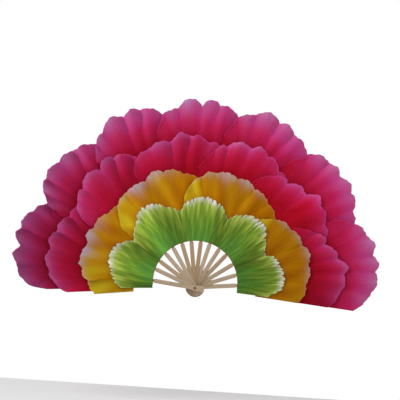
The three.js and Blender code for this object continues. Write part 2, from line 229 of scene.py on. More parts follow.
INNER_PINK = Row("inner_pink_petal", "inner_pink_cloth", 0.238, 0.426, [
    [(-95.6, 349, 6), (-92.4, 377, 6), (-86.1, 403, 12), (-78.3, 407, 13), (-71.3, 407, 9), (-64.1, 395, 6),
     (-58.2, 388, 0)],
    [(-64, 338, 1), (-60.9, 381, 4), (-57.2, 397, 8), (-52.1, 409, 18), (-42.5, 413, 15), (-35.8, 421, 8),
     (-29.2, 400, 1), (-25.9, 381, 0)],
    [(-32.5, 340, 3), (-29.5, 381, 6), (-22.7, 400, 9), (-13, 406, 16), (-5.4, 416, 10), (1.6, 399, 7),
     (6.9, 392, 0)],
    [(-2.4, 329, 3), (4.4, 381, 8), (9.3, 398, 14), (17.9, 411, 15), (25.4, 413, 10), (31.8, 395, 5),
     (38.7, 383, 0)],
    [(24.1, 327, 6), (31.3, 375, 10), (37.7, 383, 12), (46.4, 399, 19), (53.2, 412, 9), (60.3, 397, 7),
     (66.3, 383, 0)],
    [(54.2, 315, 3), (62, 364, 12), (67.8, 377, 10), (75.1, 402, 18), (81.4, 411, 8), (88.5, 398, 4),
     (94.8, 370, 0)],
])
OUTER_PINK = Row("outer_pink_petal", "outer_pink_cloth", 0.308, 0.518, [
    [(-94.2, 406, 6), (-92.5, 456, 8), (-86.2, 490, 16), (-79.9, 491, 15), (-74.5, 503, 10), (-68.2, 489, 5),
     (-64.5, 470, 1), (-59.7, 437, 0)],
    [(-65.7, 437, 6), (-62, 485, 6), (-57.6, 506, 9), (-51.1, 507, 7), (-45.3, 501, 8), (-38.5, 479, 1),
     (-35, 453, 0)],
    [(-42, 436, 6), (-38.4, 478, 4), (-34.4, 496, 19), (-26.4, 507, 12), (-20.6, 509, 9), (-14.5, 486, 1),
     (-10.8, 458, 0)],
    [(-18.3, 422, 6), (-14.2, 484, 3), (-9, 494, 22), (-1.4, 499, 16), (4.2, 504, 9), (10.3, 485, 1),
     (13.9, 456, 0)],
    [(6.7, 423, 3), (10.4, 483, 3), (15.9, 503, 18), (23.5, 507, 12), (29.3, 500, 7), (35.5, 485, 1),
     (39.1, 454, 0)],
    [(32.1, 415, 6), (37.2, 486, 9), (43.3, 503, 10), (49.1, 502, 12), (55.3, 503, 9), (60.5, 483, 3),
     (64.9, 472, 1), (67.7, 448, 0)],
    [(59.4, 417, 6), (64.6, 475, 6), (69.2, 492, 15), (76, 497, 12), (81.4, 499, 10), (88.3, 485, 4),
     (94.7, 441, 0)],
])
ROWS = [GREEN, YELLOW, INNER_PINK, OUTER_PINK]


def smooth(t):
    t = np.clip(t, 0, 1)
    return t * t * (3 - 2 * t)


def arch(t):
    """0 at every whole number and 1 halfway between two."""
    return np.abs(np.sin(math.pi * t))


def stacked(*values):
    return np.stack(values, axis=-1)


def leaf_inner(angle):
    return LEAF_SIDE + (LEAF_TOP - LEAF_SIDE) * np.maximum(np.cos(np.radians(angle)), 0)


def carrier(angle):
    """Depth of the cloth's carrier: it winds back by one layer from stick to stick."""
    return np.interp(angle, STICK_ANGLES, LAYERS)


def opened(row, radius):
    """How far a row's folds have opened: none at the sewn base, all well before the rim."""
    base = row.first_radius
    return smooth((radius - base) / (OPEN_SHARE * (row.reach - base)))


def row_lift(index, radius):
    """Lift of a row above its seat on the leaf: each row clears the folds of the row that it covers."""
    row = ROWS[index]
    if index == len(ROWS) - 1:
        return TIP_LIFT * smooth((radius - row.base) / (row.reach - row.base))
    below = ROWS[index + 1]
    base = row.first_radius
    rise = np.clip((radius - base) / (below.base - base), 0, 1)
    over = np.where(radius > below.base, opened(below, radius) * (SHINGLE_LIFT + FOLD_DEPTH), 0)
    own = ROW_CLEARANCE + SOLID_CLOTH + FOLD_DEPTH * opened(row, radius)
    return row_lift(index + 1, np.maximum(radius, below.base)) + rise * own + over


def nearness(distance, span):
    """How near a distance is to a corner: 1 at it, 0 from the span on."""
    return np.clip(1 - distance / span, 0, 1)


def inverse_smooth(y):
    return 0.5 - np.sin(np.arcsin(1 - 2 * np.clip(y, 0, 1)) / 3)


def node_angles(node):
    """Fan angles of a CAD node's vertices."""
    vertices = frame["nodes"][node].data.vertices
    return [math.degrees(math.atan2(v.co.x, v.co.z)) for v in vertices]


class Petal:
    """The shape of one petal over its own fan angle, counted as the cloth lies, and radius."""

    def __init__(self, row_index, index):
        self.row_index = row_index
        self.row = ROWS[row_index]
        self.index = index
        self.node = f"{self.row.node}_{index + 1}"
        self.notches, self.notch_radii, self.rises = self.row.rims[index].T
        self.left = self.notches[0]
        self.end = self.notches[-1]
        self.width = self.end - self.left
        self.is_last = index == len(self.row.rims) - 1
        self.right = self.end if self.is_last else self.row.rims[index + 1][0][0]
        self.overlap = self.end - self.right
        self.teeth = self.row.teeth[index] if self.row.teeth else 0
        random = np.random.default_rng(ROW_SEED * row_index + PETAL_SEED * index + FIRST_SEED)
        self.waves = random.uniform(0, 2 * math.pi, 8)
        self.crease_depths = random.choice(CREASE_DEPTHS, len(self.notches))
        self.tips = self.row.tips[index] if self.row.tips else random.uniform(0.2, 1, len(self.notches))
        self.roundness = random.choice(RUFF_ROUNDNESS if self.teeth else LOBE_SHAPES, len(self.rises))

    def share(self, angle):
        return np.clip((angle - self.left) / self.width, 0, 1)

    def lobes(self, angle):
        """Lobes counted from the left edge."""
        return np.interp(angle, self.notches, np.arange(len(self.notches)))

    def lobe(self, lobes):
        """Number of the lobe on which a point lies."""
        return np.clip(np.floor(lobes), 0, len(self.rises) - 2).astype(int)

    def folds(self, angle):
        """Folds counted from the left edge: one for each lobe, or for each tooth of the ruff."""
        if not self.teeth:
            return self.lobes(angle)
        u = self.share(angle)
        uneven = sum(size * np.sin(pace * u + wave) for (size, pace), wave in zip(TOOTH_WAVES, self.waves))
        return self.teeth * u + uneven * np.sin(math.pi * u)

    def columns(self, left, right):
        """Fan angles of a strip's columns, with one on every notch."""
        dense = np.linspace(self.left, self.end, RIM_SAMPLES)
        folds = self.folds(dense)
        pieces = []
        for k in range(math.floor(folds[0]), math.ceil(folds[-1])):
            start, stop = np.interp((k, k + 1), folds, dense)
            count = COLUMNS_PER_TOOTH if self.teeth else max(FEWEST_COLUMNS, round((stop - start) / COLUMN_STEP))
            pieces.append(np.interp(k + np.arange(count) / count, folds, dense))
        angles = np.unique(np.concatenate(pieces))
        spare = SPARE_SHARE * self.width / len(angles)
        inside = angles[(angles > left + spare) & (angles < right - spare)]
        return np.concatenate([[left], inside, [right]])

    def rim(self, angle):
        lobes = self.lobes(angle)
        lobe = self.lobe(lobes)
        notches = np.interp(angle, self.notches, self.notch_radii)
        rim = notches + self.rises[lobe] * arch(lobes) ** self.roundness[lobe]
        for (size, pace), wave in zip(RIM_WAVES, self.waves[2:]):
            rim = rim + size * np.sin(pace * angle + wave)
        return rim - self.slit(angle) if self.teeth else rim

    def below(self, angle, radius):
        """Depth below the rim."""
        return np.maximum(self.rim(angle) - radius, 0)

    def from_crest(self, angle, radius):
        """Depth below the rim's high part, also at the sides, where the rim itself runs down."""
        radii = self.notch_radii.copy()
        radii[0], radii[-1] = radii[1], radii[-2]
        return np.maximum(np.interp(angle, self.notches, radii), self.rim(angle)) - radius

    def slit(self, angle):
        """How far the slits between the ruff's teeth and the teeth's own unevenness cut into its rim."""
        random = np.random.default_rng(SLIT_SEED + self.index)
        depths = TOOTH_SLIT * random.choice(SLIT_SHARES, self.teeth + 1)
        heights = TOOTH_RISE * random.uniform(0, 1, self.teeth + 1)
        folds = self.folds(angle)
        gap = 1 - arch(folds) ** 0.4
        near = np.clip(np.round(folds), 0, self.teeth).astype(int)
        tooth = np.clip(np.floor(folds), 0, self.teeth).astype(int)
        ends = smooth(np.minimum(self.share(angle), 1 - self.share(angle)) / SLIT_FADE)
        return ends * (depths[near] * gap + heights[tooth] * (1 - gap))

    def freed(self, radius):
        """Where the petals of a row have opened enough to lie over one another."""
        return np.clip((opened(self.row, radius) - OVERLAP_START) / (1 - OVERLAP_START), 0, 1)

    def inner(self, angle):
        """Radius where the cloth starts: the sewn base, and further out where it runs under its neighbour."""
        base = self.row.inner(angle)
        if not self.overlap:
            return base
        share = np.clip((angle - self.right) / self.overlap, 0, 1)
        open_needed = OVERLAP_START + share * (1 - OVERLAP_START)
        run = inverse_smooth(open_needed) * OPEN_SHARE * (self.row.reach - self.row.first_radius)
        start = self.row.first_radius + run
        return np.where(angle > self.right, np.minimum(start, self.rim(angle) - SHORTEST_THREAD), base)

    def place(self, angle, radius):
        """Fan angle at which a point really lies: the free left edge is a little ruffled."""
        if self.index == 0:
            return angle
        ruffle = SIDE_WAVE * (1 + np.sin(2 * math.pi * radius / SIDE_WAVE_PITCH + self.waves[1]))
        span = min(WARP_SPAN, self.first_cut - self.left)
        return angle + self.freed(radius) * ruffle * nearness(angle - self.left, span) ** 2

    def gathered(self, angle, radius):
        """Fan angle at the rim of the crease through a point: creases run in towards the petal's middle."""
        pull = CREASE_GATHER * smooth(self.below(angle, radius) / CREASE_GATHER_RUN)
        centre = (self.left + self.right) / 2
        return np.clip((angle - centre * pull) / (1 - pull), self.left, self.end)

    def crease_lobes(self, angle, radius):
        """Lobes counted from the left edge along the creases."""
        return self.lobes(self.gathered(angle, radius))

    def fold(self, angle, radius):
        """Rounded lobes between creases, from -1 in a crease to 1 on a lobe: shallower away from the rim."""
        if self.teeth:
            below = np.maximum(self.rim(angle) + self.slit(angle) - radius, 0)
            valley = 1 - arch(self.folds(angle + TOOTH_SLANT * below)) ** 0.9
            return 1 - 2 * valley * (FAR_FOLD + (1 - FAR_FOLD) * np.exp(-below / FOLD_FADE))
        lobes = self.crease_lobes(angle, radius)
        below = self.below(angle, radius)
        valley = 1 - arch(lobes) ** (2 - np.exp(-below / FOLD_FADE))
        depth = FAR_FOLD + (1 - FAR_FOLD) * np.exp(-below / CREASE_FADE)
        return 1 - 2 * valley * depth * self.crease_depths[np.round(lobes).astype(int)]

    def swell(self, angle, radius):
        """How far lobes stand out near the rim: most on the ones that rise most."""
        lobes = self.crease_lobes(angle, radius)
        rise = LEAST_SWELL + np.minimum(self.rises[self.lobe(lobes)] / SWELL_RISE, 1)
        return SWELL * arch(lobes) * rise * np.exp(-self.below(angle, radius) / SWELL_FADE)

    def ripple(self, angle, radius):
        """Small unevenness of hand-set cloth, the forward curl of the rim and the ruff's crinkles."""
        a = np.radians(angle - self.left)
        waves = zip(UNEVEN_WAVES, self.waves[2:])
        height = UNEVENNESS * sum(np.sin(across * a + along * radius + wave) for (across, along), wave in waves)
        shown = smooth((self.right - angle) / HIDDEN_FADE) if self.overlap else 1.0
        curl = RIM_CURL * smooth(1 - (self.rim(angle) - radius) / RIM_CURL_RUN)
        cup = 0.6 + 0.6 * np.sin(2.9 * self.lobes(angle) + self.waves[4])
        cup = cup + 0.8 * nearness(angle - self.left, CUP_SPAN)
        height = height + curl * cup * shown
        if self.teeth:
            return height + self.crinkle(angle, radius)
        return height + self.swell(angle, radius) * shown

    def crinkle(self, angle, radius):
        """The ruff's crossing crinkles: ridges of many widths and slants."""
        random = np.random.default_rng(CRINKLE_SEED + self.index)
        total = np.zeros_like(angle * radius)
        for size, pitch in CRINKLE_RIDGES:
            slant = random.uniform(-CRINKLE_SLANT, CRINKLE_SLANT)
            turn = random.uniform(0, 1)
            bend = random.uniform(*CRINKLE_BEND) * np.sin(45 * radius + random.uniform(0, 6))
            bend = bend + 0.2 * np.sin(0.35 * angle + random.uniform(0, 6))
            place = angle / pitch + slant * (radius - 0.2) / pitch + turn + bend
            total = total + size * (1 - 2 * arch(place) ** 1.4)
        return CRINKLE_DEPTH * total

    def lift(self, angle, radius):
        u = self.share(angle)
        fade = np.clip(np.minimum(u, 1 - u) / EDGE_FADE, 0, 1)
        opening = opened(self.row, radius)
        own = SHINGLE_LIFT * (1 - smooth(u)) + FOLD_DEPTH * fade * self.fold(angle, radius)
        own = own + self.ripple(angle, radius)
        if self.teeth:
            opening = SEWN_RUFF + (1 - SEWN_RUFF) * opening
        return row_lift(self.row_index, radius) + opening * own

    def point(self, angle, radius):
        real = self.place(angle, radius)
        return fan_points(real, radius, carrier(real) - PETAL_SEAT - self.lift(angle, radius))


def fan_points(angle, radius, depth):
    a = np.radians(angle)
    return stacked(radius * np.sin(a), depth, radius * np.cos(a))


def unit(v):
    return v / np.maximum(np.linalg.norm(v, axis=-1, keepdims=True), 1e-12)


def surface_normals(point, angle, radius):
    """Normals of a surface given as point(angle, radius), towards the front."""
    step_a, step_r = 0.02, 0.0002
    across = point(angle + step_a, radius) - point(angle - step_a, radius)
    along = point(angle, radius + step_r) - point(angle, radius - step_r)
    return unit(np.cross(across, along))


def grid_faces(rings, columns):
    """Quads of a closed sheet: (smooth faces, flat edge faces, triangles that close the bead's ends)."""
    i, j = np.meshgrid(np.arange(columns - 1), np.arange(rings - 1))
    a = (j * columns + i).ravel()
    size = rings * columns
    c = np.arange(columns - 1)
    top = (rings - 1) * columns + c
    tip = 2 * size + c
    smooth_faces = np.concatenate([
        stacked(a, a + 1, a + columns + 1, a + columns),
        size + stacked(a, a + columns, a + columns + 1, a + 1),
        stacked(top, top + 1, tip + 1, tip),
        stacked(tip, tip + 1, size + top + 1, size + top),
    ])
    r = np.arange(rings - 1) * columns
    last = columns - 1
    flat_faces = np.concatenate([
        stacked(c, size + c, size + c + 1, c + 1),
        stacked(r, r + columns, size + r + columns, size + r),
        stacked(r + last, size + r + last, size + r + columns + last, r + columns + last),
    ])
    ends = np.array([
        (top[0], 2 * size, size + top[0]),
        (top[0] + last, size + top[0] + last, 2 * size + last),
    ])
    return smooth_faces, flat_faces, ends


def face_normals(points, faces):
    corners = points[faces]
    return unit(np.cross(corners[:, 1] - corners[:, 0], corners[:, -1] - corners[:, 0]))


def set_vectors(mesh, name, values):
    attribute = mesh.attributes.new(name, "FLOAT_VECTOR", "POINT")
    attribute.data.foreach_set("vector", values.astype(np.float32).ravel())


def cloth_mesh(name, angle, radius, point, thickness, coordinates, tone):
    """A closed thin sheet over a grid of angles and radii, with a bead along its rim."""
    middle = point(angle, radius)
    normal = surface_normals(point, angle, radius)
    outward = middle[-1] - middle[-2]
    outward = unit(outward - (outward * normal[-1]).sum(-1, keepdims=True) * normal[-1])
    half = thickness[..., None] / 2
    bead = middle[-1] + outward * half[-1]
    rings, columns = angle.shape
    front, back = middle + normal * half, middle - normal * half
    points = np.concatenate([front.reshape(-1, 3), back.reshape(-1, 3), bead])
    vertex_normals = np.concatenate([normal.reshape(-1, 3), -normal.reshape(-1, 3), outward])
    vertex_normals[(rings - 1) * columns:rings * columns] = unit(normal[-1] + BEAD_TURN * outward)
    vertex_normals[(2 * rings - 1) * columns:2 * rings * columns] = unit(BEAD_TURN * outward - normal[-1])
    smooth_faces, flat_faces, ends = grid_faces(rings, columns)
    mesh = bpy.data.meshes.new(name)
    mesh.from_pydata(points.tolist(), [], smooth_faces.tolist() + flat_faces.tolist() + ends.tolist())
    loops = np.concatenate([
        vertex_normals[smooth_faces].reshape(-1, 3),
        np.repeat(face_normals(points, flat_faces), 4, axis=0),
        np.repeat(face_normals(points, ends), 3, axis=0),
    ])
    mesh.normals_split_custom_set(loops.tolist())
    thread = stacked(np.radians(angle) * radius, radius, np.zeros_like(radius))
    for label, values in (("cloth", coordinates), ("tone", tone), ("thread", thread)):
        set_vectors(mesh, label, np.concatenate([values.reshape(-1, 3)] * 2 + [values[-1]]))
    return mesh


def cut_angles(left, right):
    """Where cloth from left to right is cut: at the sticks, unless a strip would be very narrow."""
    inside = [a for a in STICK_ANGLES if left + SHORTEST_STRIP < a < right - SHORTEST_STRIP]
    return [left] + inside + [right]


def stick_point(k, radius):
    return fan_points(STICK_ANGLES[k], radius, 0.0)


def hang(piece, left, right, inner_radius):
    """Makes a strip ride on a guard past the end of the fan; a strip between two sticks stays where it lies. Gives
    back that guard, or the stick at the strip's left.
    """
    middle = (left + right) / 2
    if middle <= STICK_ANGLES[0]:
        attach(piece, STICKS[0])
        return STICKS[0]
    if middle >= STICK_ANGLES[-1]:
        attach(piece, STICKS[-1])
        return STICKS[-1]
    k = int(np.searchsorted(STICK_ANGLES, middle)) - 1
    stick_point(k, inner_radius)
    stick_point(k + 1, inner_radius)
    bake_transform(piece)
    return STICKS[k]


def declare_cloth(angle, radius):
    """Works out a strip's flat width from its rim, at least NARROWEST_FLAT; nothing uses it."""
    width = math.radians(angle.max() - angle.min()) * radius[-1].mean()
    width = max(width, NARROWEST_FLAT)


def add_object(name, mesh, material):
    piece = bpy.data.objects.new(name, mesh)
    bpy.context.scene.collection.objects.link(piece)
    piece.data.materials.append(material)
    return piece


def set_strip(piece, node, angle, radius, sewn):
    """Puts a strip of cloth on a guard where it lies past the end of the fan, and hides the CAD node that it stands
    for.
    """
    support = hang(piece, angle[0, 0], angle[0, -1], sewn)
    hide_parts(node)
    declare_cloth(angle, radius)


def build_petal(petal, material, settings, tone):
    """One petal as strips between the sticks. tone(petal, angle, radius) gives its dye, pale tip and painted shade.
    """
    cuts = cut_angles(petal.left, petal.end)
    petal.first_cut = cuts[1]
    rings = int(math.ceil((petal.row.reach - petal.row.first_radius) / RING_STEP))
    v = 1 - np.linspace(1, 0, rings + 1)[:, None] ** RING_CROWDING
    for number, (left, right) in enumerate(zip(cuts[:-1], cuts[1:])):
        angle = np.repeat(petal.columns(left, right)[None, :], rings + 1, axis=0)
        inner = petal.inner(angle)
        rim = petal.rim(angle)
        radius = inner + (rim - inner) * v
        from_rim = rim - radius
        hem = smooth(1 - from_rim / settings.hem_width)
        thickness = settings.cloth_thickness + (settings.hem_thickness - settings.cloth_thickness) * hem
        phase = petal.gathered(angle, radius) / PHASE_SPAN + PETAL_PHASE * petal.index
        coordinates = stacked(phase, from_rim, radius)
        name = f"{petal.node}_fold_{number + 1}"
        mesh = cloth_mesh(name, angle, radius, petal.point, thickness, coordinates, tone(petal, angle, radius))
        piece = add_object(name, mesh, material)
        set_strip(piece, petal.node, angle, radius, float(radius.min()))


def leaf_point(angle, radius):
    """Middle of the leaf: its back lies just in front of the sticks' tongues."""
    return fan_points(angle, radius, carrier(angle) - LEAF_FRONT + SOLID_CLOTH / 2)


def build_leaf(material, settings):
    """The backing leaf: one strip for each fold, the ends' wraps round the guards and the flaps beyond them."""
    folds = [f"leaf_panel_{k + 1:02d}" for k in range(len(JOINTS))]
    names = ["leaf_flap_left", folds[0]] + folds + [folds[-1], "leaf_flap_right"]
    sticks = list(STICK_ANGLES)
    first = min(node_angles("leaf_flap_left"))
    last = max(node_angles("leaf_flap_right"))
    edges = [first, sticks[0] - LEAF_WRAP] + sticks + [sticks[-1] + LEAF_WRAP, last]
    rings = int(math.ceil((LEAF_REACH - LEAF_SIDE) / (2 * RING_STEP)))
    v = np.linspace(0, 1, rings + 1)[:, None]
    for number, (name, left, right) in enumerate(zip(names, edges[:-1], edges[1:])):
        count = max(FEWEST_LEAF_COLUMNS, math.ceil((right - left) / LEAF_STEP))
        angle = np.repeat(np.linspace(left, right, count + 1)[None, :], rings + 1, axis=0)
        inner = leaf_inner(angle)
        radius = inner + (LEAF_REACH - inner) * v
        thickness = np.full_like(angle, settings.cloth_thickness)
        coordinates = stacked(angle / LEAF_PHASE_SPAN, LEAF_REACH - radius, radius)
        tone = stacked(np.full_like(angle, LEAF_DYE), np.zeros_like(angle), np.ones_like(angle))
        label = f"leaf_cloth_{number + 1:02d}"
        mesh = cloth_mesh(label, angle, radius, leaf_point, thickness, coordinates, tone)
        piece = add_object(label, mesh, material)
        set_strip(piece, name, angle, radius, LEAF_SIDE)


# Surface detail: unevenness of the dyes, metres of relief, paces across and along the cloth or the fibres, and the
# distances from the rim over which a hem's dye fades
PATCH_DYE, STREAK_DYE, UNEVEN_TIP = 0.35, 0.3, 1.6
PATCH_PACES = (0.45, 12.0)
WEAVE_RELIEF = 0.00006
FIBRE_RELIEF = 0.00025
DENT_RELIEF = 0.0002
FIBRE_PACES = (1400.0, 22.0)
SLOW_PACES = (60.0, 9.0)
HEM_DYE_FADE = (0.0022, 0.0006)
WORN_GAIN = 1.9
CACHE = {}


def shared_group(make):
    """A node group that is made once for all materials."""
    if make not in CACHE:
        CACHE[make] = make()
    return CACHE[make]


def srgb(colour):
    """Linear RGBA of a colour given as it looks on a screen."""
    linear = [c / 12.92 if c <= 0.04045 else ((c + 0.055) / 1.055) ** 2.4 for c in colour[:3]]
    return (*linear, 1.0)


class Nodes:
    """Short calls for building a node tree."""

    def __init__(self, tree):
        self.tree = tree

    def new(self, kind, **values):
        node = self.tree.nodes.new(kind)
        for name, value in values.items():
            setattr(node, name, value)
        return node

    def link(self, value, socket):
        if isinstance(value, bpy.types.NodeSocket):
            self.tree.links.new(value, socket)
        elif value is not None:
            socket.default_value = value

    def feed(self, node, **values):
        """Links or sets a node's inputs, named with an underscore for each space."""
        for name, value in values.items():
            self.link(value, node.inputs[name.replace("_", " ")])
        return node

    def math(self, operation, a, b=None, c=None, clamp=False):
        node = self.new("ShaderNodeMath", operation=operation, use_clamp=clamp)
        for value, socket in zip((a, b, c), node.inputs):
            self.link(value, socket)
        return node.outputs[0]

    def times(self, a, b, clamp=False):
        return self.math("MULTIPLY", a, b, clamp=clamp)

    def times_add(self, a, b, c):
        return self.math("MULTIPLY_ADD", a, b, c)

    def mix(self, factor, a, b, blend="MIX"):
        node = self.new("ShaderNodeMix", data_type="RGBA", blend_type=blend)
        self.link(factor, node.inputs[0])
        self.link(a, node.inputs[6])
        self.link(b, node.inputs[7])
        return node.outputs[2]

    def combine(self, x=0.0, y=0.0, z=0.0):
        node = self.new("ShaderNodeCombineXYZ")
        for value, socket in zip((x, y, z), node.inputs):
            self.link(value, socket)
        return node.outputs[0]

    def spread(self, x, y, paces, z=0.0):
        """A place whose x and y run at a pace each."""
        return self.combine(self.times(x, paces[0]), self.times(y, paces[1]), z)

    def noise(self, vector, scale=1.0, detail=2.0, roughness=0.5):
        node = self.new("ShaderNodeTexNoise", noise_dimensions="3D")
        return self.feed(node, Vector=vector, Scale=scale, Detail=detail, Roughness=roughness).outputs[0]

    def remap(self, value, low, high, to_low=0.0, to_high=1.0):
        node = self.new("ShaderNodeMapRange", interpolation_type="SMOOTHSTEP")
        for item, socket in zip((value, low, high, to_low, to_high), node.inputs):
            self.link(item, socket)
        return node.outputs[0]

    def attribute(self, name, output="Vector"):
        return self.new("ShaderNodeAttribute", attribute_name=name).outputs[output]

    def bump(self, height, distance, under=None):
        return self.feed(self.new("ShaderNodeBump"), Distance=distance, Height=height, Normal=under).outputs[0]

    def group(self, tree, **values):
        return self.feed(self.new("ShaderNodeGroup", node_tree=tree), **values)

    def separate(self, vector):
        node = self.new("ShaderNodeSeparateXYZ")
        self.link(vector, node.inputs[0])
        return node.outputs

    def ramp(self, factor, stops):
        node = self.new("ShaderNodeValToRGB")
        node.color_ramp.interpolation = "LINEAR"
        elements = node.color_ramp.elements
        while len(elements) < len(stops):
            elements.new(0.5)
        for element, (place, colour) in zip(elements, stops):
            element.position = place
            element.color = srgb(colour)
        self.link(factor, node.inputs[0])
        return node.outputs[0]


def new_group(name, inputs, outputs):
    """An empty shader node group with named sockets: (tree helper, its inputs, its output node)."""
    tree = bpy.data.node_groups.new(name, "ShaderNodeTree")
    for label, kind, default in inputs:
        socket = tree.interface.new_socket(label, in_out="INPUT", socket_type=kind)
        if default is not None:
            socket.default_value = default
    for label, kind in outputs:
        tree.interface.new_socket(label, in_out="OUTPUT", socket_type=kind)
    nodes = Nodes(tree)
    return nodes, nodes.new("NodeGroupInput"), nodes.new("NodeGroupOutput")


def weave_group():
    """Fine plain weave from the cloth's thread coordinates."""
    nodes, source, result = new_group(
        "Satin weave",
        [("Thread", "NodeSocketVector", None), ("Threads per metre", "NodeSocketFloat", 900.0)],
        [("Height", "NodeSocketFloat")],
    )
    x, y, _ = nodes.separate(source.outputs["Thread"])
    pace = nodes.times(source.outputs["Threads per metre"], 2 * math.pi)
    warp = nodes.math("SINE", nodes.times(x, pace))
    weft = nodes.math("SINE", nodes.times(y, pace))
    nodes.link(nodes.times_add(weft, 0.6, warp), result.inputs["Height"])
    return nodes.tree


def crinkle_group():
    """Radial creases of gathered cloth, with finer ones near its rim: a height for bumps, and a streak that is
    painted into dye and shade.
    """
    nodes, source, result = new_group(
        "Gathered creases",
        [
            ("Cloth", "NodeSocketVector", None),
            ("Creases per lobe", "NodeSocketFloat", 5.0),
            ("Slant", "NodeSocketFloat", 0.0),
            ("Rim width", "NodeSocketFloat", 0.05),
        ],
        [("Height", "NodeSocketFloat"), ("Streak", "NodeSocketFloat")],
    )
    phase, from_rim, radius = nodes.separate(source.outputs["Cloth"])
    wander = nodes.noise(nodes.combine(phase, nodes.times(radius, 9.0), 3.0), detail=1.0)
    slanted = nodes.times_add(radius, source.outputs["Slant"], phase)
    shifted = nodes.times_add(wander, 0.5, slanted)
    across = nodes.times(shifted, source.outputs["Creases per lobe"])
    streak = nodes.noise(nodes.combine(across, nodes.times(radius, 8.0)), detail=3.0, roughness=0.6)
    fine = nodes.noise(nodes.spread(across, radius, (3.1, 14.0), 5.0))
    near = nodes.remap(from_rim, source.outputs["Rim width"], 0.0)
    fine = nodes.times(nodes.times(fine, near), 0.5)
    nodes.link(nodes.math("ADD", streak, fine), result.inputs["Height"])
    nodes.link(streak, result.inputs["Streak"])
    return nodes.tree


def new_material(name):
    material = bpy.data.materials.new(name)
    material.use_nodes = True
    nodes = Nodes(material.node_tree)
    shader = material.node_tree.nodes["Principled BSDF"]
    return material, nodes, shader


def petal_material(name, stops, tip, hem, creases=4.0, slant=0.0, streak_depth=0.4, relief=0.0022):
    """Dyed satin with painted shade. stops are its colours from rim to base, and tip is the pale colour on its
    lobes: dye, and on the pink and yellow rows partly a painted sheen. The tone's shade and the streaks are painted
    light and shade.
    """
    material, nodes, shader = new_material(name)
    cloth = nodes.attribute("cloth")
    dye, pale, shade = nodes.separate(nodes.attribute("tone"))
    phase, from_rim, radius = nodes.separate(cloth)
    crease = nodes.group(shared_group(crinkle_group), Cloth=cloth, Creases_per_lobe=creases, Slant=slant)
    patch = nodes.math("SUBTRACT", nodes.noise(nodes.spread(phase, radius, PATCH_PACES)), 0.5)
    streak = nodes.math("SUBTRACT", crease.outputs["Streak"], 0.5)
    dye = nodes.times_add(patch, PATCH_DYE, dye)
    dye = nodes.times_add(streak, STREAK_DYE, dye)
    colour = nodes.ramp(dye, stops)
    uneven = nodes.times_add(nodes.math("ADD", patch, streak), UNEVEN_TIP, 1.0)
    tipped = nodes.mix(nodes.times(pale, uneven, clamp=True), colour, srgb(tip))
    # Painted light and shade: the tone's shade and the lighter or darker streaks multiply the colour
    shade = nodes.times(shade, nodes.times_add(streak, streak_depth, 1.0))
    shaded = nodes.mix(1.0, tipped, nodes.combine(shade, shade, shade), "MULTIPLY")
    edge = nodes.times(nodes.remap(from_rim, *HEM_DYE_FADE), nodes.remap(patch, -0.1, 0.1, 0.15, 0.6))
    weave = nodes.group(shared_group(weave_group), Thread=nodes.attribute("thread"))
    under = nodes.bump(weave.outputs["Height"], WEAVE_RELIEF)
    nodes.feed(
        shader, Base_Color=nodes.mix(edge, shaded, srgb(hem)), Roughness=nodes.times_add(patch, 0.2, 0.5),
        Specular_IOR_Level=0.02, Normal=nodes.bump(crease.outputs["Height"], relief, under),
    )
    return material


def bamboo_material(name, pale, mid, deep):
    """Split bamboo: long fibres, slow changes of tone, and more or less honey colour from stick to stick."""
    material, nodes, shader = new_material(name)
    across, along, number = nodes.separate(nodes.attribute("grain"))
    seed = nodes.times(number, 7.31)
    fibre = nodes.noise(nodes.spread(across, along, FIBRE_PACES, seed), detail=3.0, roughness=0.6)
    slow = nodes.noise(nodes.spread(across, along, SLOW_PACES, seed))
    honey = nodes.attribute("honey", "Fac")
    mixed = nodes.times_add(fibre, 0.5, nodes.times(slow, 0.4))
    mixed = nodes.math("ADD", mixed, nodes.times_add(honey, -0.35, 0.35))
    nodes.feed(
        shader, Base_Color=nodes.ramp(mixed, [(0.35, deep), (0.62, mid), (0.9, pale)]),
        Roughness=nodes.times_add(fibre, 0.25, 0.38), Specular_IOR_Level=0.4, Normal=nodes.bump(fibre, FIBRE_RELIEF),
    )
    return material


def rivet_material(colour):
    """Browned rivet metal with small dents and worn high spots."""
    material, nodes, shader = new_material("rivet_metal")
    place = nodes.new("ShaderNodeTexCoord").outputs["Object"]
    dents = nodes.noise(place, scale=900.0, detail=3.0)
    worn = nodes.remap(dents, 0.45, 0.7)
    light = tuple(min(1.0, c * WORN_GAIN) for c in colour)
    nodes.feed(
        shader, Base_Color=nodes.mix(worn, srgb(colour), srgb(light)), Metallic=0.85,
        Roughness=nodes.times_add(dents, 0.3, 0.25), Normal=nodes.bump(dents, DENT_RELIEF),
    )
    return material


def refined_copy(node, ease):
    """A copy of a CAD node's mesh with its long edges eased."""
    mesh = frame["nodes"][node].data.copy()
    work = bmesh.new()
    work.from_mesh(mesh)
    bmesh.ops.remove_doubles(work, verts=work.verts, dist=1e-6)
    if ease:
        turn = math.radians(EASED_TURN)
        sharp = [e for e in work.edges if e.calc_face_angle(0) > turn and e.calc_length() > SHORTEST_EASED]
        bmesh.ops.bevel(work, geom=sharp, offset=ease, segments=2, profile=0.5, affect="EDGES")
        bmesh.ops.triangulate(work, faces=work.faces)
    work.to_mesh(mesh)
    work.free()
    mesh.materials.clear()
    mesh.shade_smooth()
    mesh.set_sharp_from_angle(angle=math.radians(SHARP_TURN if ease else GUARD_SHARP_TURN))
    return mesh


